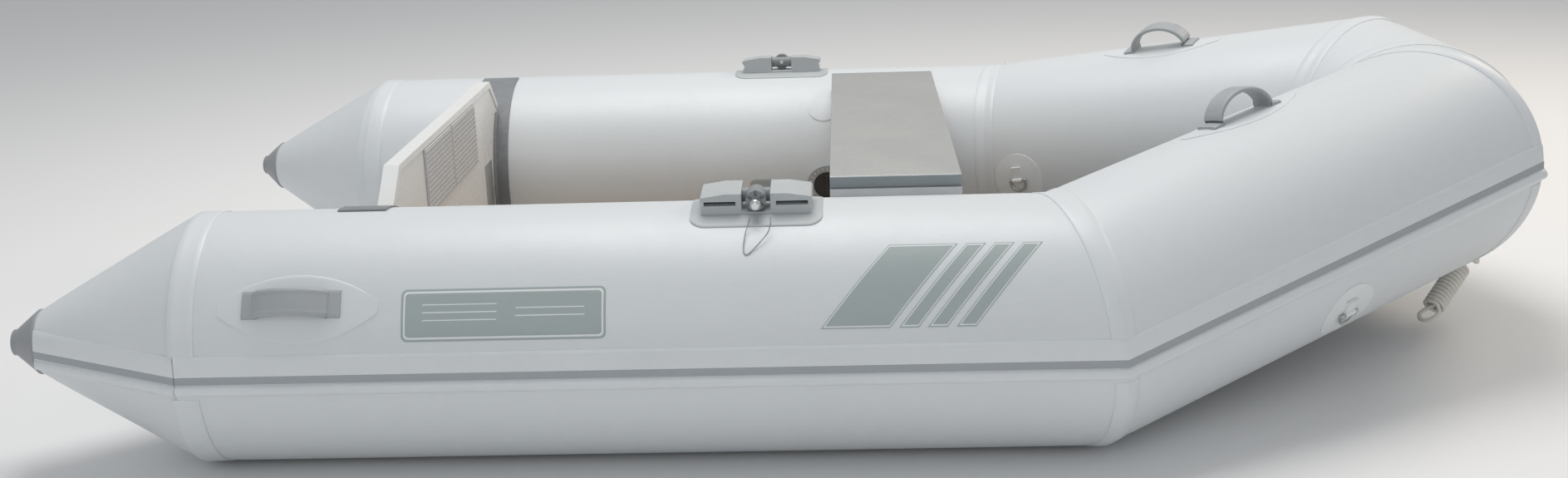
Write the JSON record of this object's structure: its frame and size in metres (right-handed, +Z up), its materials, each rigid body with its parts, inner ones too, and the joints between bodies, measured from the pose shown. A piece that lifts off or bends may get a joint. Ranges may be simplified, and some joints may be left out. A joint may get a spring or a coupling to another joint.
{
  "type": "inflatable dinghy",
  "caption": "Small inflatable dinghy with coated-fabric air tubes, rigid transom, bench seat, oarlocks, carry handles, tow rings and a slatted floor.",
  "frame": {"origin": "on the ground under the middle of the boat, halfway along its length", "axes": "+X towards the bow, -Y starboard, +Z up"},
  "size_m": [2.3631, 1.4166, 0.4942],
  "materials": {
    "tube_fabric": "satin coated fabric",
    "seam_tape": "satin coated fabric",
    "cap_grey": "satin moulded rubber",
    "strake_white": "satin moulded rubber",
    "strake_grey": "satin moulded rubber",
    "transom_ply": "gloss white paint over plywood",
    "trim_white": "gloss",
    "holder_grey": "matt moulded rubber",
    "pad_grey": "ribbed mesh texture",
    "plate": "satin blank plate",
    "black_plastic": "fine moulded grain",
    "bench_alu": "satin anodised",
    "end_cap": "matt",
    "channel_alu": "satin",
    "pad_rubber": "satin coated fabric",
    "oarlock_grey": "fine moulded grain",
    "pivot_grey": "fine moulded grain",
    "chrome": "polished",
    "wire": "stranded steel wire",
    "valve_grey": "matt moulded",
    "valve_white": "matt moulded",
    "ring_steel": "polished stainless",
    "webbing_white": "coated webbing",
    "handle_grey": "satin moulded rubber",
    "decal_grey": "printed film",
    "patch_grey": "satin coated fabric",
    "rope": "laid three-strand rope",
    "floor_grey": "coated fabric",
    "ply": "varnished plywood",
    "webbing_dark": "woven webbing"
  },
  "bodies": {
    "hull": {"side_tube_port": "tube_fabric", "side_tube_starboard": "tube_fabric", "tail_cone_port": "tube_fabric", "tail_cone_starboard": "tube_fabric", "tail_cap_port": "cap_grey", "tail_cap_starboard": "cap_grey", "bow_panel_port": "tube_fabric", "bow_panel_starboard": "tube_fabric", "nose_panel_port": "tube_fabric", "nose_panel_starboard": "tube_fabric", "chamber_baffle": "tube_fabric", "seam_tapes": "seam_tape", "rub_strake_band": "strake_white", "rub_strake_stripe": "strake_grey", "rub_strake_bead": "strake_white", "transom_board": "transom_ply", "transom_trim": "trim_white", "transom_holders": "holder_grey", "motor_pads_inner": "pad_grey", "motor_pad_outer": "pad_grey", "data_plate": "plate", "drain_fitting": "black_plastic", "seat_rails": "patch_grey", "oarlock_pads": "pad_rubber", "oarlock_base_port": "oarlock_grey", "oarlock_base_starboard": "oarlock_grey", "pin_lanyard_port": "wire", "pin_lanyard_starboard": "wire", "valve_rings": "valve_grey", "valve_bodies": "black_plastic", "ring_patches": "webbing_white", "bow_handles": "handle_grey", "stern_handles": "handle_grey", "handle_patches": "tube_fabric", "side_decals": "decal_grey", "inner_patches": "patch_grey", "bow_eye": "cap_grey", "painter_lead": "rope", "painter_hank": "rope", "floor_sheet": "floor_grey", "floor_slats": "ply", "floor_straps": "webbing_dark"},
    "drain_plug": {"drain_plug": "black_plastic"},
    "bench": {"seat_board": "bench_alu", "seat_end_caps": "end_cap", "seat_channels": "channel_alu"},
    "oarlock_pivot_port": {"oarlock_pivot_port": "pivot_grey"},
    "oarlock_pivot_starboard": {"oarlock_pivot_starboard": "pivot_grey"},
    "oar_pin_port": {"oar_pin_port": "chrome"},
    "oar_pin_starboard": {"oar_pin_starboard": "chrome"},
    "valve_cap_port": {"valve_cap_port": "black_plastic"},
    "valve_cap_starboard": {"valve_cap_starboard": "black_plastic"},
    "valve_plunger_port": {"valve_plunger_port": "valve_white"},
    "valve_plunger_starboard": {"valve_plunger_starboard": "valve_white"},
    "lashing_ring_port": {"lashing_ring_port": "ring_steel"},
    "lashing_ring_starboard": {"lashing_ring_starboard": "ring_steel"},
    "tow_ring_port": {"tow_ring_port": "ring_steel"},
    "tow_ring_starboard": {"tow_ring_starboard": "ring_steel"}
  },
  "joints": [
    {"name": "bench_slide", "type": "slide", "parent": "hull", "child": "bench", "axis": [1, 0, 0], "range_m": [0, 0.11]},
    {"name": "drain_plug_pull", "type": "slide", "parent": "hull", "child": "drain_plug", "axis": [1, 0, 0], "range_m": [0, 0.03]},
    {"name": "oarlock_tilt_port", "type": "hinge", "parent": "hull", "child": "oarlock_pivot_port", "pos_m": [-0.105, 0.53726, 0.37725], "axis": [1, 0, 0], "range_deg": [0, 90]},
    {"name": "oar_pin_pull_port", "type": "slide", "parent": "oarlock_pivot_port", "child": "oar_pin_port", "axis": [0, 0.9962, -0.0872], "range_m": [0, 0.04]},
    {"name": "valve_cap_turn_port", "type": "hinge", "parent": "hull", "child": "valve_cap_port", "pos_m": [-0.017, 0.34025, 0.17058], "axis": [0, -0.9986, -0.0523], "range_deg": [0, 90]},
    {"name": "valve_plunger_press_port", "type": "slide", "parent": "hull", "child": "valve_plunger_port", "axis": [0, 0.9986, 0.0523], "range_m": [0, 0.006], "stiffness_N_per_m": 600, "springref_m": -0.004},
    {"name": "lashing_ring_swing_port", "type": "hinge", "parent": "hull", "child": "lashing_ring_port", "pos_m": [0.34355, 0.30058, 0.17963], "axis": [-0.8381, 0.5131, -0.1852], "range_deg": [0, 110]},
    {"name": "tow_ring_swing_port", "type": "hinge", "parent": "hull", "child": "tow_ring_port", "pos_m": [0.7471, 0.45694, 0.15797], "axis": [0.8381, -0.5131, 0.1852], "range_deg": [0, 110]},
    {"name": "oarlock_tilt_starboard", "type": "hinge", "parent": "hull", "child": "oarlock_pivot_starboard", "pos_m": [-0.105, -0.53726, 0.37725], "axis": [-1, 0, 0], "range_deg": [0, 90]},
    {"name": "oar_pin_pull_starboard", "type": "slide", "parent": "oarlock_pivot_starboard", "child": "oar_pin_starboard", "axis": [0, -0.9962, -0.0872], "range_m": [0, 0.04]},
    {"name": "valve_cap_turn_starboard", "type": "hinge", "parent": "hull", "child": "valve_cap_starboard", "pos_m": [-0.017, -0.34025, 0.17058], "axis": [0, 0.9986, -0.0523], "range_deg": [0, 90]},
    {"name": "valve_plunger_press_starboard", "type": "slide", "parent": "hull", "child": "valve_plunger_starboard", "axis": [0, -0.9986, 0.0523], "range_m": [0, 0.006], "stiffness_N_per_m": 600, "springref_m": -0.004},
    {"name": "lashing_ring_swing_starboard", "type": "hinge", "parent": "hull", "child": "lashing_ring_starboard", "pos_m": [0.34355, -0.30058, 0.17963], "axis": [0.8381, 0.5131, 0.1852], "range_deg": [0, 110]},
    {"name": "tow_ring_swing_starboard", "type": "hinge", "parent": "hull", "child": "tow_ring_starboard", "pos_m": [0.7471, -0.45694, 0.15797], "axis": [-0.8381, -0.5131, -0.1852], "range_deg": [0, 110]}
  ]
}
